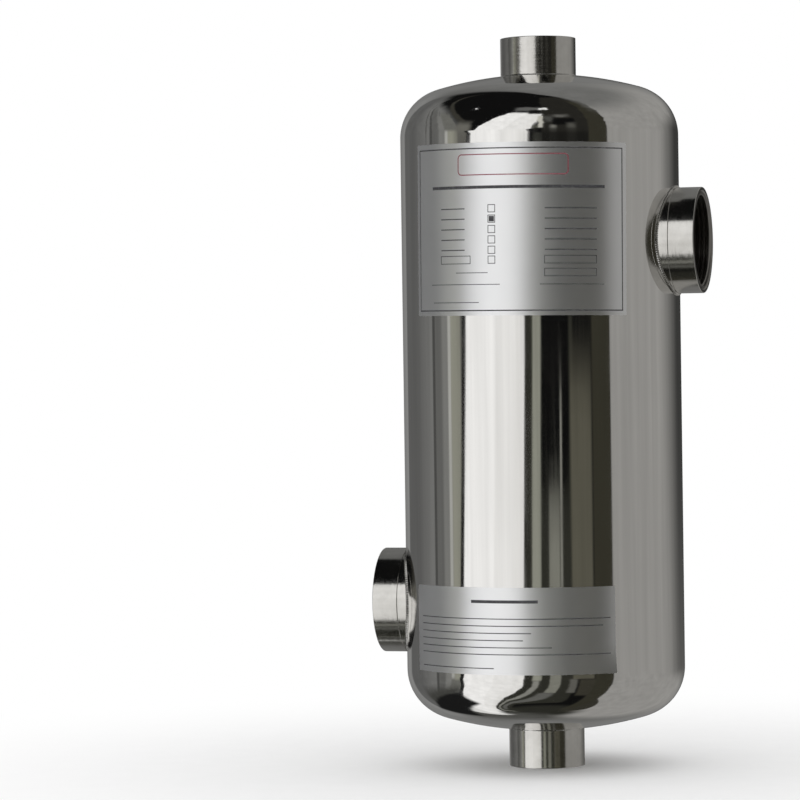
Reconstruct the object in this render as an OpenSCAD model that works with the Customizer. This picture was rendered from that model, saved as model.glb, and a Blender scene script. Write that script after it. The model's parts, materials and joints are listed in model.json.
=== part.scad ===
// Shell and tube heat exchanger for pool water: a polished stainless shell between two dished
// heads, threaded end sockets for the heating water, threaded side ports for the pool water,
// and a straight tube bundle held in two tube sheets. All sizes are in millimetres.
// The origin is the centre of the bottom socket's rim, +Z runs up the shell and the upper side
// port points along +X.

/* [Shell] */
// Outside diameter of the shell
shell_od = 140; // [136:1:170]
// Wall of the shell and of the heads
shell_wall = 1.2; // [0.8:0.1:2]
// Length of the shell between its two head seams
shell_len = 263; // [240:1:420]

/* [Dished heads] */
// Crown radius of a head, outside
crown_r = 187; // [150:1:260]
// Knuckle radius of a head, outside
knuckle_r = 25; // [18:0.5:32]
// Straight flange of a head below its knuckle
head_flange = 2; // [1:0.5:8]

/* [End sockets] */
// Major diameter of the 1 inch parallel pipe thread
end_thread_d = 33.25; // [30:0.05:34]
// Wall of an end socket outside its thread
end_wall = 2.35; // [1.8:0.05:3.5]
// Height of an end socket's rim over the crown of its head
end_stand = 18.3; // [14:0.1:30]
// Shoulder that a head leaves under its socket's thread
end_shoulder = 2.125; // [1.5:0.125:4]

/* [Side ports] */
// Major diameter of the 1 1/2 inch parallel pipe thread
port_thread_d = 47.8; // [44:0.05:49]
// Wall of a side socket outside its thread
port_wall = 2.55; // [1.8:0.05:3.5]
// Length of a side socket
port_socket_len = 12.9; // [10:0.1:25]
// Height of a neck's flat end over the shell's widest line
neck_proud = 0.4; // [0.2:0.1:3]
// Shoulder that a neck leaves under its socket's thread
port_shoulder = 1.9; // [1.5:0.1:4]
// Height of the lower port over the bottom seam
lower_port_rise = 31.5; // [31:0.5:60]
// Depth of the upper port under the top seam
upper_port_drop = 51.5; // [32:0.5:80]

/* [Socket edges and welds] */
// Lead-in chamfer at the mouth of a thread
mouth_chamfer = 0.9; // [0.4:0.1:1.2]
// Length of the plain relief behind a thread
relief_len = 1.2; // [0.8:0.1:3]
// Depth of the relief over the thread's major diameter
relief_deep = 0.35; // [0.2:0.05:0.8]
// Chamfer on a rim's outer edge
rim_chamfer = 0.4; // [0.1:0.1:0.8]
// Chamfer on a sleeve's inner end, which leaves a fine line where it meets its neck
joint_chamfer = 0.25; // [0.1:0.05:0.4]
// Leg of the fillet welds round the sockets and necks
weld_leg = 0.9; // [0.5:0.1:1.4]

/* [Tube bundle] */
// Outside diameter of a tube
tube_od = 12; // [9:0.5:13]
// Wall of a tube
tube_wall = 0.8; // [0.5:0.1:1.2]
// Gap between neighbouring tubes
tube_gap = 4; // [3:0.5:5]
// Thickness of a tube sheet
sheet_t = 4; // [3:0.5:6]
// How far the tubes stand out of the tube sheets
tube_proud = 1; // [0.5:0.5:3]
// Thickness of a baffle
baffle_t = 1.5; // [1:0.5:3]
// Distance of a baffle's cut edge from the shell's axis
baffle_cut = 35; // [28:0.5:44]
// Diameter of a tie rod
rod_d = 5; // [4:0.5:7]

/* [Clearances] */
// Between a tube sheet and the shell, and a tube and its sheet
seat_clear = 0.05; // [0.02:0.01:0.15]
// Round a baffle, and round the tubes and rods that pass through it
baffle_clear = 0.25; // [0.1:0.05:0.5]

/* [Hidden] */
$fn = 96;
tube_rings = 3;
tube_rows = [for (row = [1 : 2 * tube_rings + 1]) str("tube_row_", row)];
baffles = [for (number = [1 : 4]) str("baffle_", number)];
tie_rods = [for (number = [1 : 4]) str("tie_rod_", number)];

// Heads
shell_r = shell_od / 2;
shell_in_r = shell_r - shell_wall;
crown_reach = crown_r - knuckle_r;
crown_angle = asin((shell_r - knuckle_r) / crown_reach);
head_h = crown_r - crown_reach * cos(crown_angle);

// Levels, from the bottom socket's rim up
bottom_crown_z = end_stand;
bottom_tangent_z = bottom_crown_z + head_h;
bottom_seam_z = bottom_tangent_z + head_flange;
top_seam_z = bottom_seam_z + shell_len;
top_tangent_z = top_seam_z + head_flange;
top_crown_z = top_tangent_z + head_h;
top_rim_z = top_crown_z + end_stand;
lower_port_z = bottom_seam_z + lower_port_rise;
upper_port_z = top_seam_z - upper_port_drop;

// Sockets
end_r = end_thread_d / 2 + end_wall;
end_bore_r = end_thread_d / 2 - end_shoulder;
port_r = port_thread_d / 2 + port_wall;
port_bore_r = port_thread_d / 2 - port_shoulder;
neck_end_x = shell_r + neck_proud;
port_rim_x = neck_end_x + port_socket_len;

// Bundle
tube_r = tube_od / 2;
tube_pitch = tube_od + tube_gap;
row_step = tube_pitch * sin(60);
rod_x = tube_pitch;
rod_y = tube_rings * row_step + tube_r + tube_gap / 2 + rod_d / 2;
baffle_step = (upper_port_z - lower_port_z) / (len(baffles) + 1);
sheet_hole_r = tube_r + seat_clear;

// Where the tubes of one row stand, for rows -tube_rings to tube_rings
function row_count(row) = 2 * tube_rings + 1 - abs(row);
function row_points(row) =
    [for (i = [0 : row_count(row) - 1]) [(i - (row_count(row) - 1) / 2) * tube_pitch, row * row_step]];
tube_points = [for (row = [-tube_rings : tube_rings]) each row_points(row)];
rod_points = [for (y = [-1, 1], x = [-1, 1]) [x * rod_x, y * rod_y]];

// A ring's part between two directions from its centre, measured from the +Y axis
module arc_wall(outer_r, wall, from, to) {
    reach = 2 * outer_r;
    intersection() {
        difference() {
            circle(outer_r);
            circle(outer_r - wall);
        }
        polygon([
            [0, 0],
            [reach * sin(from), reach * cos(from)],
            [reach * sin(to), reach * cos(to)]
        ]);
    }
}

// Wall of a dished head: crown, knuckle and flange, with the tangent line on the X axis
module head_profile() {
    difference() {
        union() {
            translate([0, head_h - crown_r]) arc_wall(crown_r, shell_wall, 0, crown_angle);
            translate([shell_r - knuckle_r, 0]) arc_wall(knuckle_r, shell_wall, crown_angle, 90);
            translate([shell_in_r, -head_flange]) square([shell_wall, head_flange]);
        }
        square([end_bore_r, 2 * head_h]);
    }
}

module dished_head() {
    color("silver") rotate_extrude($fn = 180) head_profile();
}

// Turns a shape made for the top end over to the bottom end
module at_bottom() {
    translate([0, 0, bottom_tangent_z]) mirror([0, 0, 1]) children();
}

module at_top() {
    translate([0, 0, top_tangent_z]) children();
}

// Height of the crown's outside over the tangent line, at a distance from the head's axis
function crown_y(r) = head_h - crown_r + sqrt(pow(crown_r, 2) - pow(r, 2));

// Solid inside the crown's outer sphere, in a head's own frame
module crown_ball() {
    translate([0, 0, head_h - crown_r]) sphere(crown_r, $fn = 180);
}

// Threaded sleeve of a socket, with its rim at the top of the profile; root is the length of the
// foot that is cut away where the sleeve sits on a head
module sleeve_profile(thread_r, wall, length, root = 0) {
    out_r = thread_r + wall;
    polygon([
        [thread_r, root + relief_len + relief_deep],
        [thread_r + relief_deep, root + relief_len],
        [thread_r + relief_deep, 0],
        [out_r - joint_chamfer, 0],
        [out_r, joint_chamfer],
        [out_r, length - rim_chamfer],
        [out_r - rim_chamfer, length],
        [thread_r + mouth_chamfer, length],
        [thread_r, length - mouth_chamfer]
    ]);
}

module shell() {
    color("silver") difference() {
        translate([0, 0, bottom_seam_z]) cylinder(r = shell_r, h = shell_len, $fn = 180);
        translate([0, 0, bottom_seam_z - 1]) cylinder(r = shell_in_r, h = shell_len + 2, $fn = 180);
        along_port(upper_port_z, 1) cylinder(r = port_bore_r, h = shell_od);
        along_port(lower_port_z, -1) cylinder(r = port_bore_r, h = shell_od);
    }
}

module top_head() {
    at_top() dished_head();
}

module bottom_head() {
    at_bottom() dished_head();
}

// End socket: a threaded sleeve that sits on the crown of a head
module end_socket() {
    root = 2 * (head_h - crown_y(end_r));
    color("gainsboro") difference() {
        translate([0, 0, head_h - root])
            rotate_extrude() sleeve_profile(end_thread_d / 2, end_wall, end_stand + root, root);
        crown_ball();
    }
}

module top_socket() {
    at_top() end_socket();
}

module bottom_socket() {
    at_bottom() end_socket();
}

// Fillet weld where an end socket meets the crown
module end_weld() {
    toe_r = end_r + weld_leg;
    color("darkgray") rotate_extrude() polygon([
        [end_r, crown_y(end_r)],
        [toe_r, crown_y(toe_r)],
        [end_r, crown_y(end_r) + weld_leg]
    ]);
}

module top_socket_weld() {
    at_top() end_weld();
}

module bottom_socket_weld() {
    at_bottom() end_weld();
}

// Lays a shape that stands on +Z along a side port, with side 1 for +X and -1 for -X
module along_port(z, side) {
    translate([0, 0, z]) rotate([0, side * 90, 0]) children();
}

module shell_solid(grow = 0) {
    translate([0, 0, bottom_seam_z]) cylinder(r = shell_r + grow, h = shell_len, $fn = 180);
}

// Short stub between the shell and a side socket, cut to the shell's round
module port_neck(z, side) {
    color("gainsboro") difference() {
        along_port(z, side) cylinder(r = port_r, h = neck_end_x);
        along_port(z, side) cylinder(r = port_bore_r, h = 2 * neck_end_x, center = true);
        shell_solid();
    }
}

module port_socket(z, side) {
    color("gainsboro") along_port(z, side) translate([0, 0, neck_end_x])
        rotate_extrude() sleeve_profile(port_thread_d / 2, port_wall, port_socket_len);
}

// Weld bead in the corner between the shell and a neck
module port_weld(z, side) {
    color("darkgray") difference() {
        intersection() {
            along_port(z, side) cylinder(r = port_r + weld_leg, h = shell_od);
            shell_solid(weld_leg);
        }
        along_port(z, side) cylinder(r = port_r, h = shell_od);
        shell_solid();
    }
}

module upper_port_neck() {
    port_neck(upper_port_z, 1);
}

module upper_port_socket() {
    port_socket(upper_port_z, 1);
}

module upper_port_weld() {
    port_weld(upper_port_z, 1);
}

module lower_port_neck() {
    port_neck(lower_port_z, -1);
}

module lower_port_socket() {
    port_socket(lower_port_z, -1);
}

module lower_port_weld() {
    port_weld(lower_port_z, -1);
}

// Flat disc with a hole for every tube
module tube_sheet(z) {
    color("gray") translate([0, 0, z]) linear_extrude(sheet_t) difference() {
        circle(shell_in_r - seat_clear, $fn = 180);
        for (p = tube_points) translate(p) circle(sheet_hole_r);
    }
}

module top_tube_sheet() {
    tube_sheet(top_seam_z - sheet_t);
}

module bottom_tube_sheet() {
    tube_sheet(bottom_seam_z);
}

// One straight row of tubes across the bundle
module tube_row(row) {
    color("lightgray") for (p = row_points(row))
        translate([p.x, p.y, bottom_seam_z - tube_proud])
            linear_extrude(shell_len + 2 * tube_proud) difference() {
                circle(tube_r);
                circle(tube_r - tube_wall);
            }
}

// Segmental baffle, number 1 lowest, open in turn towards +X and -X
module baffle(number) {
    open_side = number % 2 == 1 ? 1 : -1;
    color("darkgray") translate([0, 0, lower_port_z + number * baffle_step - baffle_t / 2])
        linear_extrude(baffle_t) difference() {
            circle(shell_in_r - baffle_clear, $fn = 180);
            translate([open_side > 0 ? baffle_cut : -baffle_cut - shell_r, -shell_r])
                square([shell_r, shell_od]);
            for (p = tube_points) translate(p) circle(tube_r + baffle_clear);
            for (p = rod_points) translate(p) circle(rod_d / 2 + baffle_clear);
        }
}

// Rod that ties the baffles between the two tube sheets
module tie_rod(number) {
    color("dimgray") translate([rod_points[number - 1].x, rod_points[number - 1].y, bottom_seam_z + sheet_t])
        cylinder(d = rod_d, h = shell_len - 2 * sheet_t);
}

shell();
top_head();
bottom_head();
top_socket();
bottom_socket();
top_socket_weld();
bottom_socket_weld();
upper_port_neck();
upper_port_socket();
upper_port_weld();
lower_port_neck();
lower_port_socket();
lower_port_weld();
top_tube_sheet();
bottom_tube_sheet();
for (number = [1 : len(tube_rows)])
    tube_row(number - tube_rings - 1);
for (number = [1 : len(baffles)])
    baffle(number);
for (number = [1 : len(tie_rods)])
    tie_rod(number);
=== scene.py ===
# Stainless pool heat exchanger: turned skins, beads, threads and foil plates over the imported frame
import json
import math

import bmesh
import bpy
from mathutils import Matrix, Vector


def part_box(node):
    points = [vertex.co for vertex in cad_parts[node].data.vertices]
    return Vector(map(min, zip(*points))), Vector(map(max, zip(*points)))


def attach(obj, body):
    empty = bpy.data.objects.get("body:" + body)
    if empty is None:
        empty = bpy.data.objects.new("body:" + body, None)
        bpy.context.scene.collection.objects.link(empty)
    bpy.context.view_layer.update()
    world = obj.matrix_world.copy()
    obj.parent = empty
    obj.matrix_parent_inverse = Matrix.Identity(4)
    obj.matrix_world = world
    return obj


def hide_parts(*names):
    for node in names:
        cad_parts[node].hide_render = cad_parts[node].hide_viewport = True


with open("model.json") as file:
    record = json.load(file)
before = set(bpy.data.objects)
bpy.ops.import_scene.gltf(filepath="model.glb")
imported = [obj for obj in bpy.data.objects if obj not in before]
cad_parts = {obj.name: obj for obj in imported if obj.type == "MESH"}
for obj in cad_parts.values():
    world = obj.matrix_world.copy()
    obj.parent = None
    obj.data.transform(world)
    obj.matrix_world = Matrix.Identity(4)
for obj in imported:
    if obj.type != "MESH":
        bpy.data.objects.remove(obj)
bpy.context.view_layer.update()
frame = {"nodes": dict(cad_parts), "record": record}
nodes = frame["nodes"]
mounts = {mount["name"]: mount for mount in frame["record"]["mounts"]}
scene = bpy.context.scene
scene.view_settings.view_transform = "Standard"
mm = 0.001
fullTurn = 2 * math.pi
white = (1.0, 1.0, 1.0, 1.0)
noiseSpan = (0.30, 0.70)            # where most of a noise's values lie
print("frame loaded:", len(nodes), "nodes")


# Node helpers

def addNode(tree, kind, inputs=None, **settings):
    node = tree.nodes.new("ShaderNode" + kind)
    for key, value in settings.items():
        setattr(node, key, value)
    for key, value in (inputs or {}).items():
        if isinstance(value, bpy.types.NodeSocket):
            tree.links.new(value, node.inputs[key])
        else:
            node.inputs[key].default_value = value
    return node


def calc(tree, operation, first, second=0.0):
    return addNode(tree, "Math", {0: first, 1: second}, operation=operation).outputs[0]


def ramp(tree, value, fromLow, fromHigh, toLow, toHigh, smooth=True):
    inputs = {"Value": value, "From Min": fromLow, "From Max": fromHigh, "To Min": toLow, "To Max": toHigh}
    kind = "SMOOTHSTEP" if smooth else "LINEAR"
    return addNode(tree, "MapRange", inputs, interpolation_type=kind).outputs[0]


def blendColour(tree, share, under, over):
    return addNode(tree, "Mix", {"Factor": share, 6: under, 7: over}, data_type="RGBA").outputs[2]


def rgba(colour):
    return (*colour, 1.0)


def objectPoint(tree):
    return addNode(tree, "TexCoord").outputs["Object"]


def stretched(tree, point, scale):
    return addNode(tree, "Mapping", {"Vector": point, "Scale": scale}).outputs[0]


def noise(tree, point, scale, detail=2.0, roughness=0.5):
    inputs = {"Vector": point, "Scale": scale, "Detail": detail, "Roughness": roughness}
    return addNode(tree, "TexNoise", inputs).outputs["Fac"]


def bump(tree, height, depth, under=None):
    inputs = {"Height": height, "Strength": 1.0, "Distance": depth}
    if under is not None:
        inputs["Normal"] = under
    return addNode(tree, "Bump", inputs).outputs[0]


def newSurface(name, **constants):
    material = bpy.data.materials.new(name)
    material.use_nodes = True
    tree = material.node_tree
    shader = tree.nodes["Principled BSDF"]
    for key, value in constants.items():
        shader.inputs[key.replace("_", " ")].default_value = value
    return material, tree, shader


def connect(tree, shader, **sockets):
    for key, value in sockets.items():
        tree.links.new(value, shader.inputs[key.replace("_", " ")])


# Camera, at the photograph's viewing angle

cameraSetup = {
    "azimuth": 13.35,               # degrees from -Y towards +X
    "elevation": 0.7,
    "distance": 1.85,
    "aimHeight": 0.185,             # of the point on the axis that the view turns round
    "lens": 164.85,
    "picture": 800,                 # pixels on a side
    "aimPixel": (542.5, 398.5),     # where that point falls in the picture
    "roll": -0.76,
}


def makeCamera(setup):
    data = bpy.data.cameras.new("camera")
    data.lens = setup["lens"]
    camera = bpy.data.objects.new("camera", data)
    scene.collection.objects.link(camera)
    azimuth, elevation = math.radians(setup["azimuth"]), math.radians(setup["elevation"])
    away = Vector((math.sin(azimuth) * math.cos(elevation), -math.cos(azimuth) * math.cos(elevation),
                   math.sin(elevation)))
    pixelLens = setup["lens"] / data.sensor_width * setup["picture"]
    middle = setup["picture"] / 2
    yaw = math.atan((setup["aimPixel"][0] - middle) / pixelLens)
    pitch = math.atan((setup["aimPixel"][1] - middle) / pixelLens)
    look = (-away).to_track_quat("-Z", "Y").to_matrix().to_4x4()
    turnBy = (Matrix.Rotation(math.radians(setup["roll"]), 4, "Z") @ Matrix.Rotation(yaw, 4, "Y")
              @ Matrix.Rotation(pitch, 4, "X"))
    place = Vector((0, 0, setup["aimHeight"])) + away * setup["distance"]
    camera.matrix_world = Matrix.Translation(place) @ look @ turnBy
    scene.camera = camera


makeCamera(cameraSetup)
print("camera placed")


# Studio: a plain white world, a pale floor and a light tent that only mirrors see

tent = {
    "radius": 30.0,
    "segments": (96, 48),
    "cloth": (0.006, 0.006, 0.006),
    # How far the soft box and the cloths beside it lean right at an elevation, both in degrees
    "lean": [
        (-70, -90), (-66, -77), (-60, -54), (-55, -42), (-50, -33), (-45, -27), (-40, -21.5), (-35, -17),
        (-30, -13), (-25, -9), (-18, -5.8), (-8, -5), (-3.5, -2.7), (-1.3, 0), (0.4, 2.2), (3.3, 3.5),
        (3.7, 9), (4.6, 10), (4.9, 7), (5.8, 7), (6.2, 13), (15, 18), (25, 25.5), (30, 30), (35, 37),
        (40, 45), (44, 58), (60, 80),
    ],
    "leanFront": -45.0,             # azimuth where the lean begins to die out on the right
    "leanEnd": (25.0, 60.0),        # where it has, below the horizon and above it
    "leanBack": (-165.0, -110.0),   # and where it does at the back
    "wallBend": (90.0, 60.0, 2.5),  # the left wall's strips bend by this much at an elevation, and the power
    "sweep": (-50.0, -72.0, 32.0),  # elevations over which the right wall's foot runs back, and how far
    "horizon": (-2.0, 2.0),         # elevations over which below passes into above
    "ragged": (2.5, 7.0),           # degrees that hung edges wander, below the horizon and above it
    "raggedFrom": (5.0, 22.0),      # elevations over which they begin to
    "wander": (9.0, 4.0, 0.62),     # noises, as scale, detail and roughness
    "folds": (9.0, 5.0, 0.60),
    "mottle": (0.91, 1.08),         # how the folds darken and lighten the cloth
    # Panels: way of leaning, azimuth from and to, elevation from and to, soft sides, soft ends, colour
    "panels": [
        ("plain", -190, 190, -95, -70, 1, 10, (0.027, 0.027, 0.022)),           # ground
        ("plain", -190, -146, 30, 95, 12, 20, (0.150, 0.150, 0.146)),           # ceiling and ground behind
        ("plain", -230, -110, -82, -30, 30, 20, (0.085, 0.085, 0.078)),
        ("bent", -190, -100, -36, 44, 4, 8, (0.122, 0.122, 0.120)),             # left wall
        ("bent", -115, -72, -36, 40, 30, 8, (0.195, 0.195, 0.190)),
        ("plain", -230, -149, -45, 34, 3, 24, (0.270, 0.270, 0.266)),
        ("plain", -230, -160, -60, 80, 34, 24, (0.190, 0.190, 0.186)),
        ("bent", -108, -106.4, 3, 40, 1.2, 8, (0.100, 0.100, 0.096)),
        ("bent", -87, -85.4, 4, 34, 1.0, 6, (0.090, 0.090, 0.086)),
        ("bent", -74, -72.2, 3, 36, 1.0, 6, (0.040, 0.040, 0.036)),
        ("bent", -102.2, -98.6, -36, 36, 1.5, 8, (0.078, 0.078, 0.075)),
        ("bent", -98.6, -90, -36, 36, 3, 8, (0.135, 0.135, 0.130)),
        ("bent", -90.5, -83.5, -36, 30, 4, 8, (0.215, 0.215, 0.205)),
        ("bent", -84, -70.5, -36, 34, 2, 8, (0.160, 0.160, 0.146)),
        ("bent", -84, -80.6, -8, 7, 1.5, 6, (0.440, 0.440, 0.415)),
        ("bent", -80.6, -70.5, -10, 7, 1.5, 6, (0.300, 0.300, 0.250)),
        ("bent", -130, -70.5, -50, -22, 10, 14, (0.062, 0.062, 0.057)),         # the wall's darker foot
        ("bent", -66, -58, 22, 60, 4, 10, (0.045, 0.043, 0.036)),               # ceiling's edge
        ("plain", -73, -59, 2, 20, 6, 14, (0.160, 0.156, 0.138)),
        ("leant", -71.0, -66.5, -36, 30, 1.0, 6, (0.008, 0.008, 0.008)),
        ("leant", -100, -60, -70, -50, 8, 8, (0.800, 0.795, 0.780)),            # white ground sheet
        ("leant", -67.3, -15.5, -69, 41, 0.8, 6, (0.945, 0.938, 0.922)),        # soft box
        ("leant", -67.3, -40, -66, 41, 0.8, 6, (1.020, 1.014, 1.002)),
        ("leant", -24, -15.5, -66, 36, 6, 4, (0.880, 0.872, 0.852)),
        ("plain", -24, 0, 46, 54, 6, 4, (0.140, 0.140, 0.136)),
        ("plain", -150, -87, -54, -32, 8, 4, (0.012, 0.012, 0.012)),            # dark cloth on the ground
        ("leant", -15.5, 24, -80, 3, 1.6, 2, (0.030, 0.030, 0.024)),            # dark cloth and its gaps
        ("leant", -9, -2, -10, 3, 1.6, 3, (0.290, 0.294, 0.246)),
        ("leant", -8.5, -3.5, -76, -10, 2, 4, (0.250, 0.250, 0.225)),
        ("leant", 4.5, 13, -38, -1.9, 1.6, 0.3, (0.215, 0.215, 0.184)),
        ("leant", 2, 12, -70, -38, 4, 4, (0.130, 0.130, 0.120)),
        ("leant", -2, 21, -1.9, 40, 1.6, 0.3, (0.005, 0.005, 0.005)),
        ("leant", 13.6, 15.2, -4, -0.2, 0.8, 0.3, (0.240, 0.238, 0.210)),
        ("leant", 22.3, 40, -8, 0.1, 2, 0.8, (0.105, 0.100, 0.076)),            # brown cloth
        ("leant", 28, 54, -44, -8, 3, 6, (0.045, 0.042, 0.032)),
        ("leant", 20, 26, -38, -8, 3, 4, (0.120, 0.118, 0.105)),
        ("plain", 2, 57, 4, 80, 3, 3, (0.022, 0.021, 0.018)),                   # dark corner of the room
        ("plain", 11, 30, 13, 27, 3, 4, (0.006, 0.006, 0.006)),
        ("plain", 13, 25, 30, 36, 9, 5, (0.130, 0.128, 0.118)),
        ("plain", 5, 11, 20, 33, 5, 8, (0.080, 0.080, 0.074)),
        ("plain", 9, 14, 6.5, 13, 4, 6, (0.190, 0.188, 0.170)),
        ("plain", 23, 30, 6.5, 17, 5, 8, (0.090, 0.088, 0.078)),
        ("plain", -1, 3, 8, 33, 2, 3, (0.600, 0.590, 0.530)),
        ("plain", -5.5, -1.5, 7, 13, 1.5, 4, (0.080, 0.080, 0.066)),
        ("plain", -9, 3, 38, 48, 3, 3, (0.008, 0.008, 0.008)),
        ("plain", 41, 110, -82, -40, 6, 8, (0.038, 0.036, 0.028)),
        ("plain", 41, 57, -75, 66, 2, 10, (0.038, 0.036, 0.026)),
        ("swept", 57.5, 190, -76, 60, 1.6, 12, (0.333, 0.327, 0.313)),          # right wall
        ("plain", 54, 190, 46, 95, 16, 30, (0.180, 0.180, 0.174)),
        ("plain", 165, 230, -82, -30, 34, 20, (0.085, 0.085, 0.078)),
        ("plain", 165, 230, -60, 80, 34, 24, (0.190, 0.190, 0.186)),
        ("plain", 131, 260, -8, 13, 42, 16, (0.045, 0.045, 0.043)),             # dark doorway at the back
        ("plain", -260, -177, -8, 13, 8, 16, (0.045, 0.045, 0.043)),
        ("plain", -71, -68, 46, 49, 0.6, 0.6, (1.0, 1.0, 1.0)),                 # lamps under the ceiling
        ("plain", 0, 9.5, 48, 53, 1.0, 1.0, (0.900, 0.900, 0.880)),
    ],
}
floorSetup = {
    "radius": 0.55,
    "segments": 96,
    "plainTo": 0.16,
    "whiteFrom": 0.42,
    "shade": 0.97,
    "grain": 0.01,
    "grainScale": 60.0,
}


def between(tree, value, start, end, edge):
    # 1 between two limits and 0 outside them
    half = edge / 2
    return calc(tree, "MULTIPLY", ramp(tree, value, start - half, start + half, 0.0, 1.0),
                ramp(tree, value, end - half, end + half, 1.0, 0.0))


def bendCurve(tree, value, points):
    # reads one value off a line drawn through points
    (low, first), (high, last) = points[0], points[-1]
    node = addNode(tree, "FloatCurve", {"Value": ramp(tree, value, low, high, 0.0, 1.0, smooth=False)})
    line = node.mapping.curves[0].points
    for place, height in points[1:-1]:
        line.new((place - low) / (high - low), (height - first) / (last - first))
    for point in line:
        point.handle_type = "VECTOR"
    node.mapping.update()
    return ramp(tree, node.outputs[0], 0.0, 1.0, first, last, smooth=False)


def tentBearings(tree, way, setup):
    # azimuth by each way of leaning, and elevation, in degrees and with their wandering edges
    axes = addNode(tree, "SeparateXYZ", {0: way}).outputs
    azimuth = calc(tree, "DEGREES", calc(tree, "ARCTAN2", axes[0], calc(tree, "MULTIPLY", axes[1], -1.0)))
    elevation = calc(tree, "DEGREES", calc(tree, "ARCSINE", axes[2]))
    steepness = calc(tree, "ABSOLUTE", elevation)
    ragged = ramp(tree, elevation, *setup["horizon"], *setup["ragged"])
    ragged = calc(tree, "MULTIPLY", ramp(tree, steepness, *setup["raggedFrom"], 0.0, 1.0), ragged)
    wander = calc(tree, "SUBTRACT", noise(tree, way, *setup["wander"]), 0.5)
    wander = calc(tree, "MULTIPLY", wander, ragged)

    back = ramp(tree, azimuth, *setup["leanBack"], 0.0, 1.0)
    leanEnd = ramp(tree, elevation, *setup["horizon"], *setup["leanEnd"])
    front = ramp(tree, azimuth, setup["leanFront"], leanEnd, 1.0, 0.0, smooth=False)
    share = calc(tree, "MULTIPLY", front, back)
    lean = calc(tree, "MULTIPLY", bendCurve(tree, elevation, setup["lean"]), share)

    most, reach, power = setup["wallBend"]
    bend = calc(tree, "POWER", calc(tree, "DIVIDE", steepness, reach), power)
    bend = calc(tree, "MULTIPLY", calc(tree, "MULTIPLY", bend, most), back)

    sweepFrom, sweepTo, sweepBy = setup["sweep"]
    sweep = ramp(tree, elevation, sweepTo, sweepFrom, sweepBy, 0.0, smooth=False)

    plain = calc(tree, "ADD", azimuth, wander)
    bearings = {
        "plain": plain,
        "leant": calc(tree, "SUBTRACT", plain, lean),
        "bent": calc(tree, "ADD", plain, bend),
        "swept": calc(tree, "SUBTRACT", plain, sweep),
    }
    return bearings, calc(tree, "ADD", elevation, wander)


def tentCloth(setup):
    material = bpy.data.materials.new("tentCloth")
    material.use_nodes = True
    material.cycles.emission_sampling = "NONE"
    tree = material.node_tree
    tree.nodes.clear()
    turnBack = {"Vector": objectPoint(tree), "Angle": -math.radians(cameraSetup["azimuth"])}
    turned = addNode(tree, "VectorRotate", turnBack, rotation_type="Z_AXIS").outputs[0]
    way = addNode(tree, "VectorMath", {0: turned}, operation="NORMALIZE").outputs[0]
    bearings, height = tentBearings(tree, way, setup)
    colour = rgba(setup["cloth"])
    for leaning, left, right, low, high, softSide, softEnd, shade in setup["panels"]:
        wide = between(tree, bearings[leaning], left, right, softSide)
        tall = between(tree, height, low, high, softEnd)
        colour = blendColour(tree, calc(tree, "MULTIPLY", wide, tall), colour, rgba(shade))
    folds = ramp(tree, noise(tree, way, *setup["folds"]), *noiseSpan, *setup["mottle"], smooth=False)
    colour = addNode(tree, "VectorMath", {0: colour, "Scale": folds}, operation="SCALE").outputs[0]
    glow = addNode(tree, "Emission", {"Color": colour, "Strength": 1.0})
    output = addNode(tree, "OutputMaterial")
    tree.links.new(glow.outputs[0], output.inputs["Surface"])
    return material


def paleFloor(setup):
    material = bpy.data.materials.new("paleFloor")
    material.use_nodes = True
    tree = material.node_tree
    tree.nodes.clear()
    point = objectPoint(tree)
    distance = addNode(tree, "VectorMath", {0: point}, operation="LENGTH").outputs["Value"]
    darkest = setup["shade"] - setup["grain"]
    grain = ramp(tree, noise(tree, point, setup["grainScale"]), *noiseSpan, darkest, setup["shade"])
    tone = addNode(tree, "CombineColor", {0: grain, 1: grain, 2: grain}).outputs[0]
    plain = addNode(tree, "BsdfDiffuse", {"Color": tone})
    blank = addNode(tree, "Emission", {"Color": white, "Strength": 1.0})
    light = addNode(tree, "LightPath")
    seen = calc(tree, "MAXIMUM", light.outputs["Is Camera Ray"], light.outputs["Is Glossy Ray"])
    seen = calc(tree, "MAXIMUM", seen, light.outputs["Is Transmission Ray"])
    fade = calc(tree, "MULTIPLY", seen, ramp(tree, distance, setup["plainTo"], setup["whiteFrom"], 0.0, 1.0))
    mixed = addNode(tree, "MixShader", {0: fade, 1: plain.outputs[0], 2: blank.outputs[0]})
    output = addNode(tree, "OutputMaterial")
    tree.links.new(mixed.outputs[0], output.inputs["Surface"])
    return material


def stagePiece(name, bm, material):
    mesh = bpy.data.meshes.new(name)
    bm.to_mesh(mesh)
    bm.free()
    mesh.materials.append(material)
    piece = bpy.data.objects.new(name, mesh)
    scene.collection.objects.link(piece)
    return piece


def makeStudio():
    world = bpy.data.worlds.new("whiteWorld")
    world.use_nodes = True
    world.cycles.sampling_method = "NONE"
    sky = world.node_tree.nodes["Background"]
    sky.inputs["Color"].default_value = white
    sky.inputs["Strength"].default_value = 1.0
    scene.world = world

    bm = bmesh.new()
    bmesh.ops.create_circle(bm, cap_ends=True, segments=floorSetup["segments"], radius=floorSetup["radius"])
    floor = stagePiece("floor", bm, paleFloor(floorSetup))
    floor.visible_glossy = False            # the steel mirrors the tent and not what it stands on

    bm = bmesh.new()
    around, upward = tent["segments"]
    bmesh.ops.create_uvsphere(bm, u_segments=around, v_segments=upward, radius=tent["radius"])
    cover = stagePiece("lightTent", bm, tentCloth(tent))
    cover.visible_camera = False
    cover.visible_diffuse = False
    cover.visible_shadow = False


makeStudio()
print("studio set")


# Finishes: a noise is its scale, detail and roughness, and a gloss is the roughness at a noise's two ends

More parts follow.
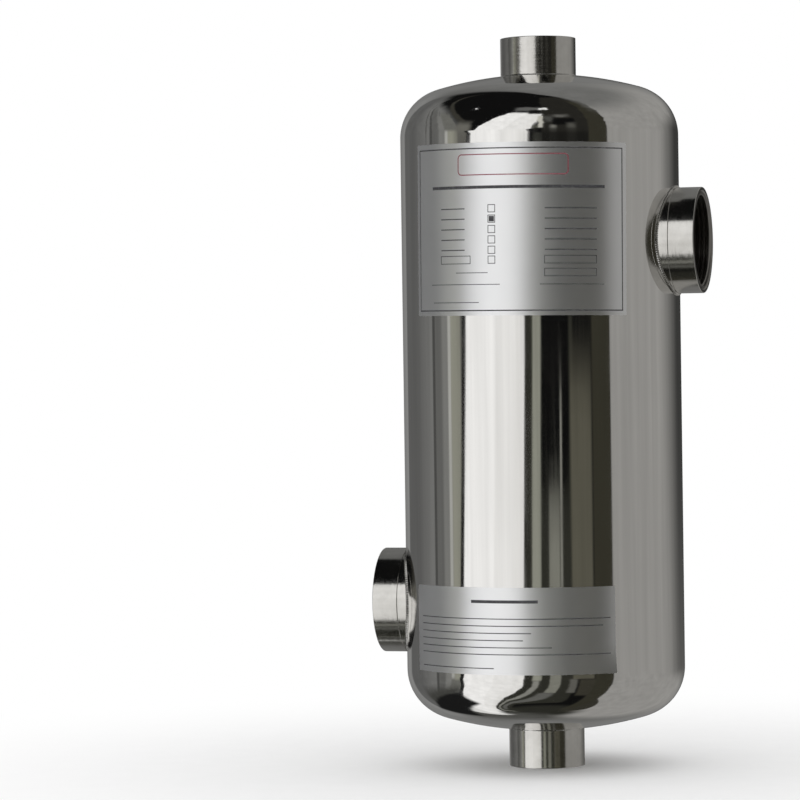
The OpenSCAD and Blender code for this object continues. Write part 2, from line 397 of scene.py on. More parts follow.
polishSetup = {
    "bright": (0.806, 0.800, 0.788),
    "dull": (0.788, 0.782, 0.770),
    "streak": (700.0, 3.0, 0.60),
    "streakStretch": (1.0, 1.0, 0.02),      # up and down the wall
    "cloud": (38.0, 3.0, 0.55),
    "swell": (26.0, 1.0, 0.40),
    "swellStretch": (1.0, 1.0, 0.45),
    "shadeSpan": (0.15, 0.40),              # of the wear, which is streak times cloud
    "glossSpan": (0.12, 0.42),
    "gloss": (0.075, 0.035),
    "streakDeep": 0.0022 * mm,
}


def polishedSteel(name, waviness):
    setup = polishSetup
    material, tree, shader = newSurface(name, Metallic=1.0)
    point = objectPoint(tree)
    streak = noise(tree, stretched(tree, point, setup["streakStretch"]), *setup["streak"])
    cloud = noise(tree, point, *setup["cloud"])
    swell = noise(tree, stretched(tree, point, setup["swellStretch"]), *setup["swell"])
    wear = calc(tree, "MULTIPLY", streak, cloud)
    brightness = ramp(tree, wear, *setup["shadeSpan"], 0.0, 1.0)
    colour = blendColour(tree, brightness, rgba(setup["dull"]), rgba(setup["bright"]))
    gloss = ramp(tree, wear, *setup["glossSpan"], *setup["gloss"])
    relief = bump(tree, streak, setup["streakDeep"], bump(tree, swell, waviness))
    connect(tree, shader, Base_Color=colour, Roughness=gloss, Normal=relief)
    return material


turnedSetup = {
    "bright": (0.690, 0.680, 0.658),
    "dull": (0.610, 0.600, 0.578),
    "pitShade": (0.160, 0.145, 0.120),
    "stretch": 0.06,                # scale of the lathe marks in the two ways across the axis
    "groove": (3000.0, 2.0, 0.60),
    "band": (700.0, 1.0, 0.40),
    "cloud": (90.0, 3.0, 0.60),
    "cloudSpan": (0.35, 0.70),
    "pitScale": 260.0,
    "pitSpan": (0.05, 0.10),        # from a pit's floor to its edge
    "pittedSpan": (0.60, 0.66),     # how dense the cloud is where pits lie
    "gloss": (0.09, 0.16),
    "grooveDeep": 0.010 * mm,
    "bandDeep": 0.020 * mm,
    "pitDeep": 0.12 * mm,
}


def turnedSteel(name, axis):
    # lathe marks run round the axis
    setup = turnedSetup
    material, tree, shader = newSurface(name, Metallic=1.0)
    point = objectPoint(tree)
    along = stretched(tree, point, tuple(1.0 if letter == axis else setup["stretch"] for letter in "XYZ"))
    groove = noise(tree, along, *setup["groove"])
    band = noise(tree, along, *setup["band"])
    cloud = noise(tree, point, *setup["cloud"])
    cells = {"Vector": point, "Scale": setup["pitScale"], "Randomness": 1.0}
    pit = ramp(tree, addNode(tree, "TexVoronoi", cells).outputs["Distance"], *setup["pitSpan"], 1.0, 0.0)
    pitted = calc(tree, "MULTIPLY", pit, ramp(tree, cloud, *setup["pittedSpan"], 0.0, 1.0))
    dullness = ramp(tree, cloud, *setup["cloudSpan"], 0.0, 1.0)
    colour = blendColour(tree, dullness, rgba(setup["bright"]), rgba(setup["dull"]))
    colour = blendColour(tree, pitted, colour, rgba(setup["pitShade"]))
    gloss = ramp(tree, groove, *noiseSpan, *setup["gloss"])
    relief = bump(tree, groove, setup["grooveDeep"], bump(tree, band, setup["bandDeep"]))
    relief = bump(tree, calc(tree, "MULTIPLY", pitted, -1.0), setup["pitDeep"], relief)
    connect(tree, shader, Base_Color=colour, Roughness=gloss, Normal=relief)
    return material


weldSetup = {
    "bright": (0.720, 0.712, 0.695),
    "dull": (0.480, 0.472, 0.460),
    "tint": (0.560, 0.530, 0.490),
    "cloud": (170.0, 3.0, 0.60),
    "cloudSpan": (0.40, 0.66),
    "fine": (1500.0, 2.0, 0.60),
    "tintSpan": (0.56, 0.78),
    "tintMost": 0.5,
    "gloss": (0.16, 0.34),
    "fineDeep": 0.030 * mm,
}


def weldSteel():
    setup = weldSetup
    material, tree, shader = newSurface("weldSteel", Metallic=1.0)
    point = objectPoint(tree)
    cloud = noise(tree, point, *setup["cloud"])
    fine = noise(tree, point, *setup["fine"])
    dullness = ramp(tree, cloud, *setup["cloudSpan"], 0.0, 1.0)
    colour = blendColour(tree, dullness, rgba(setup["bright"]), rgba(setup["dull"]))
    tinted = ramp(tree, fine, *setup["tintSpan"], 0.0, setup["tintMost"])
    colour = blendColour(tree, tinted, colour, rgba(setup["tint"]))
    gloss = ramp(tree, fine, *noiseSpan, *setup["gloss"])
    connect(tree, shader, Base_Color=colour, Roughness=gloss, Normal=bump(tree, fine, setup["fineDeep"]))
    return material


# the bore's colours are darker than the outer steel: painted shade inside the threads and mouths, over a
# real tap-roughened finish
boreShadedSetup = {                       # threads and mouths, rough from the tap
    "bright": (0.400, 0.390, 0.370),
    "dull": (0.260, 0.252, 0.238),
    "cloud": (120.0, 3.0, 0.60),
    "grain": (1800.0, 2.0, 0.60),
    "stretch": (1.0, 1.0, 1.0),
    "gloss": (0.30, 0.42),
    "grainDeep": 0.020 * mm,
}
drawnSetup = {                      # tubes and rods, dulled by drawing along their length
    "bright": (0.720, 0.700, 0.665),
    "dull": (0.600, 0.580, 0.545),
    "cloud": (60.0, 3.0, 0.55),
    "grain": (900.0, 3.0, 0.60),
    "stretch": (1.0, 1.0, 0.03),
    "gloss": (0.20, 0.36),
    "grainDeep": 0.006 * mm,
}
sheetSetup = {                      # plates with a flat-ground face
    "bright": (0.700, 0.690, 0.665),
    "dull": (0.560, 0.550, 0.530),
    "cloud": (45.0, 3.0, 0.55),
    "grain": (1100.0, 3.0, 0.60),
    "stretch": (1.0, 0.04, 1.0),
    "gloss": (0.26, 0.44),
    "grainDeep": 0.010 * mm,
}


def grainedSteel(name, setup):
    material, tree, shader = newSurface(name, Metallic=1.0)
    point = objectPoint(tree)
    cloud = noise(tree, point, *setup["cloud"])
    grain = noise(tree, stretched(tree, point, setup["stretch"]), *setup["grain"])
    colour = blendColour(tree, cloud, rgba(setup["bright"]), rgba(setup["dull"]))
    gloss = ramp(tree, grain, *noiseSpan, *setup["gloss"])
    connect(tree, shader, Base_Color=colour, Roughness=gloss, Normal=bump(tree, grain, setup["grainDeep"]))
    return material


satinSetup = {
    "metal": 0.95,
    "bright": (0.918, 0.925, 0.938),
    "dull": (0.858, 0.868, 0.886),
    "cloud": (55.0, 3.0, 0.55),
    "fine": (2400.0, 2.0, 0.60),
    "gloss": (0.29, 0.32),
    "cloudDeep": 0.040 * mm,
}


def satinFoil():
    setup = satinSetup
    material, tree, shader = newSurface("satinFoil", Metallic=setup["metal"])
    point = objectPoint(tree)
    cloud = noise(tree, point, *setup["cloud"])
    fine = noise(tree, point, *setup["fine"])
    colour = blendColour(tree, cloud, rgba(setup["bright"]), rgba(setup["dull"]))
    gloss = ramp(tree, fine, *noiseSpan, *setup["gloss"])
    connect(tree, shader, Base_Color=colour, Roughness=gloss, Normal=bump(tree, cloud, setup["cloudDeep"]))
    return material


inkSetup = {
    "dark": ((0.035, 0.035, 0.040), (0.090, 0.090, 0.095)),     # full and faded
    "red": ((0.220, 0.030, 0.050), (0.310, 0.085, 0.115)),
    "speck": (900.0, 3.0, 0.60),
    "fadeSpan": (0.40, 0.75),
    "gloss": (0.42, 0.58),
}


def printInk(name, shades):
    setup = inkSetup
    material, tree, shader = newSurface(name, Metallic=0.0)
    speck = noise(tree, objectPoint(tree), *setup["speck"])
    full, faded = shades
    colour = blendColour(tree, ramp(tree, speck, *setup["fadeSpan"], 0.0, 1.0), rgba(full), rgba(faded))
    connect(tree, shader, Base_Color=colour, Roughness=ramp(tree, speck, *noiseSpan, *setup["gloss"]))
    return material


finish = {
    "wall": polishedSteel("polishedWall", waviness=0.022 * mm),
    "dish": polishedSteel("polishedDish", waviness=0.026 * mm),
    "turnedUpright": turnedSteel("turnedUpright", "Z"),
    "turnedAcross": turnedSteel("turnedAcross", "X"),
    "bore": grainedSteel("boreSteelShaded", boreShadedSetup),
    "weld": weldSteel(),
    "drawn": grainedSteel("drawnSteel", drawnSetup),
    "sheet": grainedSteel("sheetSteel", sheetSetup),
    "foil": satinFoil(),
    "darkInk": printInk("darkInk", inkSetup["dark"]),
    "redInk": printInk("redInk", inkSetup["red"]),
}
print("finishes mixed:", len(finish))


# Modelling helpers: outlines stand in the XZ plane and are turned round Z

meshSetup = {
    "samePoint": 0.0001 * mm,       # points nearer than this are merged
    "sharpFrom": 32.0,              # degrees between faces at a sharp edge
    "easeFrom": 25.0,               # and at an edge that is eased
    "roundFrom": 0.98,              # a face belongs to a round wall if it faces straight out by this much
}


def mergePoints(bm):
    bmesh.ops.remove_doubles(bm, verts=bm.verts[:], dist=meshSetup["samePoint"])


def lineTo(bm, vert, radius, height):
    tip = bmesh.ops.extrude_vert_indiv(bm, verts=[vert])["verts"][0]
    tip.co = (radius, 0, height)
    return tip


def arcTo(bm, vert, centre, angle, steps):
    swept = bmesh.ops.spin(bm, geom=[vert], cent=(centre[0], 0, centre[1]), axis=(0, 1, 0), angle=angle,
                           steps=steps)
    return [item for item in swept["geom_last"] if isinstance(item, bmesh.types.BMVert)][0]


def outline(bm, points):
    first = last = bm.verts.new((points[0][0], 0, points[0][1]))
    for radius, height in points[1:]:
        last = lineTo(bm, last, radius, height)
    bm.edges.new((last, first))


def lathe(bm, steps):
    bmesh.ops.spin(bm, geom=bm.verts[:] + bm.edges[:], cent=(0, 0, 0), axis=(0, 0, 1), angle=fullTurn,
                   steps=steps, use_merge=True)
    mergePoints(bm)
    bmesh.ops.recalc_face_normals(bm, faces=bm.faces[:])


def easeEdges(bm, width):
    least = math.radians(meshSetup["easeFrom"])
    corners = [edge for edge in bm.edges if edge.is_manifold and edge.calc_face_angle() > least]
    bmesh.ops.bevel(bm, geom=corners, offset=width, offset_type="OFFSET", segments=2, profile=0.5,
                    affect="EDGES", material=-1)


def addPiece(name, bm, material, slot, *replaced):
    mesh = bpy.data.meshes.new(name)
    bm.to_mesh(mesh)
    bm.free()
    mesh.shade_smooth()
    mesh.set_sharp_from_angle(angle=math.radians(meshSetup["sharpFrom"]))
    mesh.materials.append(material)
    piece = bpy.data.objects.new(name, mesh)
    scene.collection.objects.link(piece)
    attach(piece, "root")
    if replaced:
        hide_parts(*replaced)
    return piece


def cutAway(bm, cutter):
    # takes one solid out of another
    body = bpy.data.objects.new("bodyBlank", bpy.data.meshes.new("bodyBlank"))
    tool = bpy.data.objects.new("toolBlank", bpy.data.meshes.new("toolBlank"))
    for blank, shape in ((body, bm), (tool, cutter)):
        shape.to_mesh(blank.data)
        shape.free()
        scene.collection.objects.link(blank)
    cut = body.modifiers.new("cut", "BOOLEAN")
    cut.operation = "DIFFERENCE"
    cut.solver = "EXACT"
    cut.object = tool
    done = bmesh.new()
    done.from_object(body, bpy.context.evaluated_depsgraph_get())
    for blank in (body, tool):
        bpy.data.meshes.remove(blank.data)
    return done


def trueNormals(piece, axis, centre):
    # a mirror finish shows every facet, so a round wall's normals point straight away from its axis
    mesh = piece.data
    smooth = [corner.vector.copy() for corner in mesh.corner_normals]
    for face in mesh.polygons:
        for corner in face.loop_indices:
            away = mesh.vertices[mesh.loops[corner].vertex_index].co - centre
            away = (away - axis * away.dot(axis)).normalized()
            facing = face.normal.dot(away)
            if abs(facing) > meshSetup["roundFrom"]:
                smooth[corner] = away if facing > 0 else -away
    mesh.normals_split_custom_set(smooth)


def reachFrom(node, axis, centre):
    # farthest that a node's points lie from a line
    spans = (vert.co - centre for vert in nodes[node].data.vertices)
    return max((span - axis * span.dot(axis)).length for span in spans)


upright, across = Vector((0, 0, 1)), Vector((1, 0, 0))
origin = Vector((0, 0, 0))


# Shell and heads

shellSetup = {"wall": 1.2 * mm, "rows": 66, "steps": 288, "boreSteps": 192}
headSetup = {
    "crown": 187.0 * mm,
    "knuckle": 25.0 * mm,
    "flange": 2.0 * mm,             # straight wall between the seam and the knuckle
    "crownSteps": 34,
    "knuckleSteps": 26,
}

shellRadius = reachFrom("shell", upright, origin)
bottomSeam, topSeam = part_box("shell")[0].z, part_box("shell")[1].z
ports = {
    "upper_port": {"side": 1.0, "height": mounts["upper_port_thread"]["pos_m"][2]},
    "lower_port": {"side": -1.0, "height": mounts["lower_port_thread"]["pos_m"][2]},
}
for portName, port in ports.items():
    port["centre"] = Vector((0, 0, port["height"]))
    port["radius"] = reachFrom(portName + "_neck", across, port["centre"])
    port["turn"] = Matrix.Translation(port["centre"]) @ Matrix.Rotation(port["side"] * math.pi / 2, 4, "Y")
    neckPoints = [vert.co - port["centre"] for vert in nodes[portName + "_neck"].data.vertices]
    port["bore"] = min(math.hypot(point.y, point.z) for point in neckPoints)
    port["neckEnd"] = max(abs(point.x) for point in neckPoints)
    port["rim"] = max(abs(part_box(portName + "_socket")[0].x), abs(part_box(portName + "_socket")[1].x))


def makeShell(setup):
    bm = bmesh.new()
    inner = shellRadius - setup["wall"]
    outline(bm, [(inner, bottomSeam), (shellRadius, bottomSeam), (shellRadius, topSeam), (inner, topSeam)])
    tall = [edge for edge in bm.edges if edge.calc_length() > shellRadius]
    bmesh.ops.subdivide_edges(bm, edges=tall, cuts=setup["rows"] - 1)
    lathe(bm, setup["steps"])
    cutter = bmesh.new()
    for port in ports.values():
        reach = Matrix.Translation((0, 0, shellRadius))
        bmesh.ops.create_cone(cutter, cap_ends=True, segments=setup["boreSteps"], radius1=port["bore"],
                              radius2=port["bore"], depth=shellRadius, matrix=port["turn"] @ reach)
    shell = addPiece("shell_skin", cutAway(bm, cutter), finish["wall"], "polished_steel", "shell")
    trueNormals(shell, upright, origin)


def headCurve(setup):
    # angle at which the crown meets the knuckle, and how far the crown rises over the flange
    crown, knuckle = setup["crown"], setup["knuckle"]
    bend = math.asin((shellRadius - knuckle) / (crown - knuckle))
    return bend, crown - (crown - knuckle) * math.cos(bend)


def makeHead(name, seam, upward, bore, setup):
    # drawn as the top head, then turned over for the bottom one
    wall, flange = shellSetup["wall"], setup["flange"]
    crown, knuckle = setup["crown"], setup["knuckle"]
    bend, rise = headCurve(setup)
    crownCentre = (0.0, flange + rise - crown)
    knuckleCentre = (shellRadius - knuckle, flange)
    outerStart, innerStart = math.asin(bore / crown), math.asin(bore / (crown - wall))
    bm = bmesh.new()
    first = bm.verts.new((bore, 0, crownCentre[1] + crown * math.cos(outerStart)))
    last = arcTo(bm, first, crownCentre, bend - outerStart, setup["crownSteps"])
    last = arcTo(bm, last, knuckleCentre, math.pi / 2 - bend, setup["knuckleSteps"])
    last = lineTo(bm, last, shellRadius, 0.0)
    last = lineTo(bm, last, shellRadius - wall, 0.0)
    last = lineTo(bm, last, shellRadius - wall, flange)
    last = arcTo(bm, last, knuckleCentre, bend - math.pi / 2, setup["knuckleSteps"])
    last = arcTo(bm, last, crownCentre, innerStart - bend, setup["crownSteps"])
    bm.edges.new((last, first))
    lathe(bm, shellSetup["steps"])
    place = Matrix.Translation((0, 0, seam))
    if not upward:
        place = place @ Matrix.Rotation(math.pi, 4, "X")
    bmesh.ops.transform(bm, matrix=place, verts=bm.verts[:])
    addPiece(name + "_skin", bm, finish["dish"], "polished_steel", name)


makeShell(shellSetup)
endBore = min(math.hypot(vert.co.x, vert.co.y) for vert in nodes["top_head"].data.vertices)
makeHead("top_head", topSeam, True, endBore, headSetup)
makeHead("bottom_head", bottomSeam, False, endBore, headSetup)
print("shell and heads turned")


# Sockets, threads and necks

socketSetup = {
    "steps": 224,
    "rimChamfer": 0.2 * mm,
    "rootChamfer": 0.25 * mm,
    "mouthChamfer": 0.9 * mm,
    "boreTo": 0.98,                 # share of the mouth chamfer, from inside, that has the bore's finish
    "threadFrom": 0.4,              # share of its depth where the thread starts
    "reliefDeep": 0.35 * mm,
    "softEdge": 0.10 * mm,
    "leastEdge": 0.01 * mm,         # keeps the root's two outer points apart on a dome
}
threadSetup = {
    "pitch": 2.309 * mm,
    "deep": 1.479 * mm,
    "sink": 0.05 * mm,              # how far the ridge's foot goes into the wall
    "crest": 0.30,                  # widths as shares of the pitch
    "root": 0.94,
    "stepsPerTurn": 72,
}
neckSetup = {"steps": 224, "sink": 0.2 * mm, "endChamfer": 0.15 * mm}


def domeDrop(crown, radius):
    # how far a dome has fallen at a distance from its axis
    return crown - math.sqrt(crown * crown - radius * radius)


def makeSocket(name, thread, outer, length, place, finishName, dome=None):
    # the rim lies at height 0 and the root below it, on a dome of that radius or flat
    setup = socketSetup
    major = thread["dims"]["r_mm"] * mm
    threadEnd = setup["mouthChamfer"] + thread["dims"]["length_mm"] * mm
    relief = major + setup["reliefDeep"]

    def root(radius):
        return -length - (domeDrop(dome, radius) if dome else 0.0)

    rootChamfer = 0.0 if dome else setup["rootChamfer"]
    bm = bmesh.new()
    outline(bm, [
        (outer - rootChamfer, root(outer)),
        (outer, root(outer) + max(rootChamfer, setup["leastEdge"])),
        (outer, -setup["rimChamfer"]),
        (outer - setup["rimChamfer"], 0.0),
        (major + setup["mouthChamfer"], 0.0),
        (major, -setup["mouthChamfer"]),
        (major, -threadEnd),
        (relief, -threadEnd - setup["reliefDeep"]),
        (relief, root(relief)),
    ])
    lathe(bm, setup["steps"])
    easeEdges(bm, setup["softEdge"])
    # faces inside the mouth and most of its chamfer take the bore finish, with its painted shade
    boreEnd = major + setup["mouthChamfer"] * setup["boreTo"]
    for face in bm.faces:
        middle = face.calc_center_median()
        face.material_index = int(math.hypot(middle.x, middle.y) < boreEnd)
    bmesh.ops.transform(bm, matrix=place, verts=bm.verts[:])
    piece = addPiece(name + "_skin", bm, finish[finishName], "turned_steel", name)
    piece.data.materials.append(finish["bore"])
    trueNormals(piece, (place.to_3x3() @ upright).normalized(), place.translation)
    makeThread(name, major, setup["mouthChamfer"] * setup["threadFrom"], threadEnd, place)


def makeThread(name, major, start, end, place):
    # one ridge wound up the bore, trimmed flat at both ends
    setup = threadSetup
    pitch = setup["pitch"]
    turns = math.ceil((end - start) / pitch) + 2
    minor, foot = major - setup["deep"], major + setup["sink"]
    bm = bmesh.new()
    crest, root = setup["crest"], setup["root"]
    profile = [(foot, -root), (minor, -crest), (minor, crest), (foot, root)]
    corners = [bm.verts.new((radius, 0, half * pitch / 2 - end - pitch)) for radius, half in profile]
    face = bm.faces.new(corners)
    bmesh.ops.spin(bm, geom=[face] + face.edges[:] + corners, cent=(0, 0, 0), axis=(0, 0, 1),
                   angle=turns * fullTurn, steps=turns * setup["stepsPerTurn"],
                   dvec=(0, 0, pitch / setup["stepsPerTurn"]))
    for height, way in ((-start, 1.0), (-end, -1.0)):
        bmesh.ops.bisect_plane(bm, geom=bm.verts[:] + bm.edges[:] + bm.faces[:], plane_co=(0, 0, height),
                               plane_no=(0, 0, way), clear_outer=True)
    mergePoints(bm)
    bmesh.ops.holes_fill(bm, edges=[edge for edge in bm.edges if edge.is_boundary])
    bmesh.ops.recalc_face_normals(bm, faces=bm.faces[:])
    bmesh.ops.transform(bm, matrix=place, verts=bm.verts[:])
    addPiece(name + "_thread", bm, finish["bore"], "turned_steel")


def makeNeck(name, port, setup):
    bm = bmesh.new()
    bore, radius, end, chamfer = port["bore"], port["radius"], port["neckEnd"], setup["endChamfer"]
    outline(bm, [(bore, 0.0), (radius, 0.0), (radius, end - chamfer), (radius - chamfer, end), (bore, end)])
    lathe(bm, setup["steps"])
    for vert in bm.verts:
        if vert.co.z < end / 2:                         # the saddle follows the shell
            vert.co.z = math.sqrt(shellRadius ** 2 - vert.co.y ** 2) - setup["sink"]
    bmesh.ops.transform(bm, matrix=port["turn"], verts=bm.verts[:])
    neck = addPiece(name + "_neck_skin", bm, finish["turnedAcross"], "turned_steel", name + "_neck")
    trueNormals(neck, across, port["centre"])


endOuter = reachFrom("top_socket", upright, origin)
topRim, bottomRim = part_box("top_socket")[1].z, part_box("bottom_socket")[0].z
endLength = topRim - (topSeam + headSetup["flange"] + headCurve(headSetup)[1])
endPlaces = {
    "top_socket": Matrix.Translation((0, 0, topRim)),
    "bottom_socket": Matrix.Translation((0, 0, bottomRim)) @ Matrix.Rotation(math.pi, 4, "X"),
}
for endName, place in endPlaces.items():
    makeSocket(endName, mounts[endName + "_thread"], endOuter, endLength, place, "turnedUpright",
               headSetup["crown"])
for portName, port in ports.items():
    place = port["turn"] @ Matrix.Translation((0, 0, port["rim"]))
    makeSocket(portName + "_socket", mounts[portName + "_thread"], port["radius"],
               port["rim"] - port["neckEnd"], place, "turnedAcross")
    makeNeck(portName, port, neckSetup)
print("sockets and necks turned")


# Welds

beadSetup = {
    "radius": 0.72 * mm,
    "out": 0.25 * mm,               # of the bead's middle from the neck, and over the shell
    "lift": 0.20 * mm,
    "ripples": 150,
    "stepsPerRipple": 4,
    "sides": 10,
    "swell": 0.22,                  # how much a ripple swells and shrinks the bead
    "chevron": 0.55,                # how far a ripple runs ahead from its foot to its top
}
filletSetup = {"leg": 0.5 * mm, "sink": 0.1 * mm, "steps": 6}


def makeBead(name, port, setup):
    # a round bead spun about the neck, rippled, then laid on the shell
    bm = bmesh.new()
    ringRadius, lift = port["radius"] + setup["out"], setup["lift"]
    standing = Matrix.Translation((ringRadius, 0, lift)) @ Matrix.Rotation(math.pi / 2, 4, "X")
    bmesh.ops.create_circle(bm, segments=setup["sides"], radius=setup["radius"], matrix=standing)
    lathe(bm, setup["ripples"] * setup["stepsPerRipple"])
    for vert in bm.verts:
        angle = math.atan2(vert.co.y, vert.co.x)
        centre = Vector((ringRadius * math.cos(angle), ringRadius * math.sin(angle), lift))
        out = vert.co - centre
        ahead = setup["chevron"] * out.z / setup["radius"]
        ripple = 1.0 + setup["swell"] * math.cos(setup["ripples"] * angle + ahead * math.pi)
        vert.co = centre + out * ripple
        vert.co.z += math.sqrt(shellRadius ** 2 - min(abs(vert.co.y), shellRadius) ** 2)
    bmesh.ops.transform(bm, matrix=port["turn"], verts=bm.verts[:])
    addPiece(name + "_bead", bm, finish["weld"], "weld_steel", name + "_weld")


def makeFillet(name, place, setup):
    # a dressed fillet in the corner between an end socket and its head
    leg, sink = setup["leg"], setup["sink"]
    inner, outer = endOuter - sink, endOuter + leg
    foot, outerFoot = (-endLength - domeDrop(headSetup["crown"], radius) for radius in (endOuter, outer))
    bm = bmesh.new()
    first = bm.verts.new((endOuter, 0, foot + leg))
    last = arcTo(bm, first, (outer, foot + leg), -math.pi / 2, setup["steps"])
    last = lineTo(bm, last, outer, outerFoot - sink)
    last = lineTo(bm, last, inner, foot - sink)
    last = lineTo(bm, last, inner, foot + leg)
    bm.edges.new((last, first))
    lathe(bm, socketSetup["steps"])
    bmesh.ops.transform(bm, matrix=place, verts=bm.verts[:])
    addPiece(name + "_weld_fillet", bm, finish["weld"], "weld_steel", name + "_weld")


for portName, port in ports.items():
    makeBead(portName, port, beadSetup)
for endName, place in endPlaces.items():
    makeFillet(endName, place, filletSetup)
print("welds laid")


# Foil plates, drawn flat in millimetres from their middle and wrapped round the shell

foilSetup = {
    "thick": 0.07 * mm,
    "inkThick": 0.02 * mm,
    "cell": 1.6,
    "corner": 0.8,
    "cornerSteps": 4,
    "rowLine": 0.50,
    "tickLine": 0.35,
    "frameSteps": 8,                # of a rounded frame's corner
    "curlFrom": (0.72, 0.20),       # shares of half the width and height where a loose corner begins to lift
    "samePoint": 0.001 * mm,
}
plateRows = [10.0 - 5.05 * row for row in range(5)]
upperPlate = {
    "name": "data_plate",
    "turn": 1.96,                   # degrees from -Y towards +X
    "height": 268.6,
    "tilt": -0.6,
    "size": (117.8, 84.3),
    "lift": 0.0,
    "frames": [                     # left, bottom, right, top, corner, line
        (-56.8, -40.0, 56.8, 39.6, 0.0, 0.60),
        (-40.0, -17.0, -21.7, -12.9, 0.0, 0.35),
        (15.8, -17.0, 42.1, -12.9, 0.0, 0.35),
        (15.8, -23.2, 42.1, -19.2, 0.0, 0.35),
    ],
    "rows": plateRows,
    "rowRules": [(-39.7, -25.0), (16.1, 42.2)],
    "ticks": plateRows + [-15.0],
    "tick": (-12.3, 3.9),           # left edge and size
    "ticked": 1,
    "tickInset": 0.6,
    "rules": [                      # left, right, height, line
        (-45.8, 46.5, 20.4, 1.5),
        (-30.3, -12.4, -21.3, 0.35),
        (-46.9, -6.1, -27.0, 0.35),
        (13.7, 46.1, -27.0, 0.35),
        (-45.5, -17.2, -35.8, 0.35),
    ],
    "titleBox": (-28.9, 26.2, 27.9, 36.6, 2.2, 0.50),
}
lowerPlate = {
    "name": "care_plate",
    "turn": -3.9,
    "height": 72.6,
    "tilt": 0.0,
    "size": (113.5, 42.6),
    "lift": 1.1,
    "frames": [],
    "rows": [],
    "rowRules": [],
    "ticks": [],
    "rules": [
        (-17.0, 17.5, 14.4, 1.5),
        (-52.0, 54.0, 6.0, 0.45),
        (-52.0, 50.0, 2.5, 0.45),
        (-52.0, 14.0, -1.0, 0.45),
        (-52.0, 10.0, -4.5, 0.45),
        (-52.0, 24.0, -8.0, 0.45),
        (-52.0, 54.0, -11.4, 0.45),
        (-52.0, -5.0, -18.2, 0.45),
    ],
    "titleBox": None,
}


def flatBox(bm, left, bottom, right, top):
    # a flat sheet cut into cells that can follow the shell
    wide, tall = (max(1, round(side / foilSetup["cell"])) for side in (right - left, top - bottom))
    place = (Matrix.Translation(((left + right) / 2, (bottom + top) / 2, 0))
             @ Matrix.Diagonal(((right - left) / 2, (top - bottom) / 2, 1, 1)))
    bmesh.ops.create_grid(bm, x_segments=wide, y_segments=tall, size=1.0, matrix=place)


def rule(bm, left, right, height, line):
    flatBox(bm, left, height - line / 2, right, height + line / 2)


def plainFrame(bm, left, bottom, right, top, corner, line):
    sideEnd = max(corner, line)
    rule(bm, left + corner, right - corner, bottom + line / 2, line)
    rule(bm, left + corner, right - corner, top - line / 2, line)
    flatBox(bm, left, bottom + sideEnd, left + line, top - sideEnd)
    flatBox(bm, right - line, bottom + sideEnd, right, top - sideEnd)
    if corner == 0.0:
        return
    # a rounded frame has quarter rings at its corners, from the top right one round to the left
    middles = ((right - corner, top - corner), (left + corner, top - corner),
               (left + corner, bottom + corner), (right - corner, bottom + corner))
    for quarter, (x, y) in enumerate(middles):
        centre = Vector((x, y, 0))
        way = Vector((math.cos(quarter * math.pi / 2), math.sin(quarter * math.pi / 2), 0))
        ends = [bm.verts.new(centre + way * (corner - inset)) for inset in (0.0, line)]
        bmesh.ops.spin(bm, geom=ends + [bm.edges.new(ends)], cent=centre, axis=(0, 0, 1), angle=math.pi / 2,
                       steps=foilSetup["frameSteps"])


def pastStart(share, start):
    # 0 up to a start and 1 at the edge
    return max(0.0, share - start) / (1.0 - start)


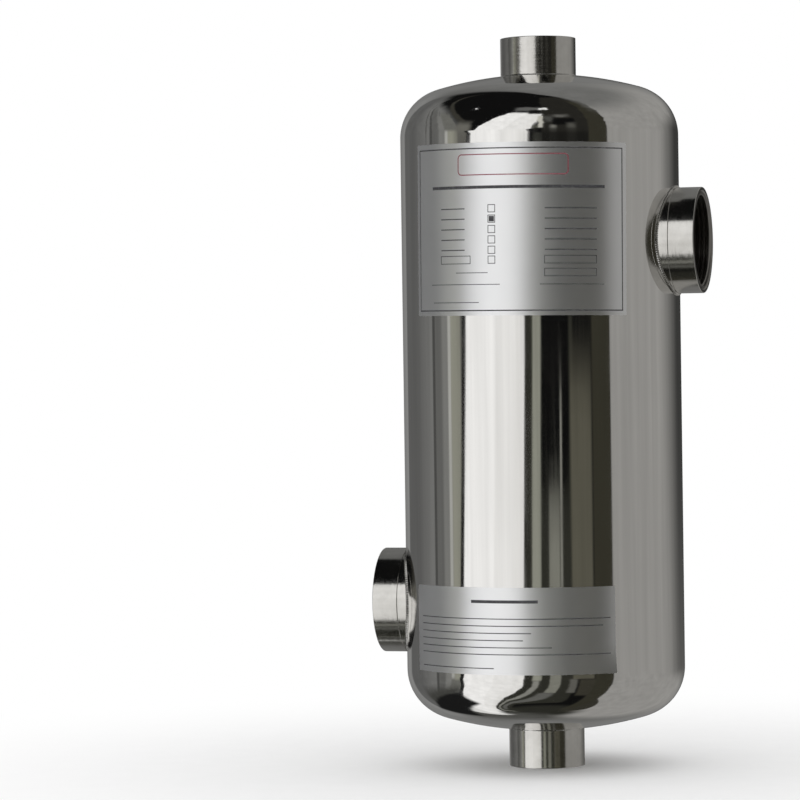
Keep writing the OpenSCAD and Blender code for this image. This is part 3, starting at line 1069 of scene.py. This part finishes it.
def wrapPlate(bm, plate, radius, thick):
    halfWidth, halfTall = (side / 2 for side in plate["size"])
    curlRight, curlDown = foilSetup["curlFrom"]
    tilt = Matrix.Rotation(math.radians(plate["tilt"]), 3, "Z")
    bmesh.ops.rotate(bm, cent=origin, matrix=tilt, verts=bm.verts[:])
    for vert in bm.verts:
        x, y = vert.co.x, vert.co.y
        curl = pastStart(x / halfWidth, curlRight) * pastStart(-y / halfTall, curlDown)
        reach = radius + plate["lift"] * mm * curl ** 2
        angle = math.radians(plate["turn"]) + x * mm / radius
        vert.co = (reach * math.sin(angle), -reach * math.cos(angle), (plate["height"] + y) * mm)
    bmesh.ops.remove_doubles(bm, verts=bm.verts[:], dist=foilSetup["samePoint"])
    bmesh.ops.recalc_face_normals(bm, faces=bm.faces[:])
    level = Vector((1, 1, 0))
    inward = [face for face in bm.faces if face.normal.dot(face.calc_center_median() * level) < 0]
    bmesh.ops.reverse_faces(bm, faces=inward)
    bmesh.ops.solidify(bm, geom=bm.faces[:], thickness=thick)
    bmesh.ops.recalc_face_normals(bm, faces=bm.faces[:])


def makePlate(plate):
    setup = foilSetup
    halfWidth, halfTall = (side / 2 for side in plate["size"])
    bm = bmesh.new()
    flatBox(bm, -halfWidth, -halfTall, halfWidth, halfTall)
    corners = [vert for vert in bm.verts if len(vert.link_edges) == 2]
    bmesh.ops.bevel(bm, geom=corners, offset=setup["corner"], segments=setup["cornerSteps"], profile=0.5,
                    affect="VERTICES", material=-1)
    foilRadius = shellRadius + setup["thick"]
    wrapPlate(bm, plate, foilRadius, setup["thick"])
    addPiece(plate["name"], bm, finish["foil"], "polished_steel")

    inkRadius = foilRadius + setup["inkThick"]
    bm = bmesh.new()
    for edges in plate["frames"]:
        plainFrame(bm, *edges)
    for height in plate["rows"]:
        for left, right in plate["rowRules"]:
            rule(bm, left, right, height, setup["rowLine"])
    for number, height in enumerate(plate["ticks"]):
        left, size = plate["tick"]
        right, low, high = left + size, height - size / 2, height + size / 2
        plainFrame(bm, left, low, right, high, 0.0, setup["tickLine"])
        if number == plate["ticked"]:
            inset = plate["tickInset"]
            flatBox(bm, left + inset, low + inset, right - inset, high - inset)
    for left, right, height, line in plate["rules"]:
        rule(bm, left, right, height, line)
    wrapPlate(bm, plate, inkRadius, setup["inkThick"])
    addPiece(plate["name"] + "_ruling", bm, finish["darkInk"], "polished_steel")

    if plate["titleBox"]:
        bm = bmesh.new()
        plainFrame(bm, *plate["titleBox"])
        wrapPlate(bm, plate, inkRadius, setup["inkThick"])
        addPiece(plate["name"] + "_title_box", bm, finish["redInk"], "polished_steel")


makePlate(upperPlate)
makePlate(lowerPlate)
print("foil plates wrapped")


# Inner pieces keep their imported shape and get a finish

innerFinish = {
    "tube_row": "drawn",
    "tie_rod": "drawn",
    "baffle": "sheet",
    "bottom_tube_sheet": "sheet",
    "top_tube_sheet": "sheet",
}
for nodeName, node in nodes.items():
    for start, finishName in innerFinish.items():
        if nodeName.startswith(start):
            node.data.materials.clear()
            node.data.materials.append(finish[finishName])
print("inner pieces finished")
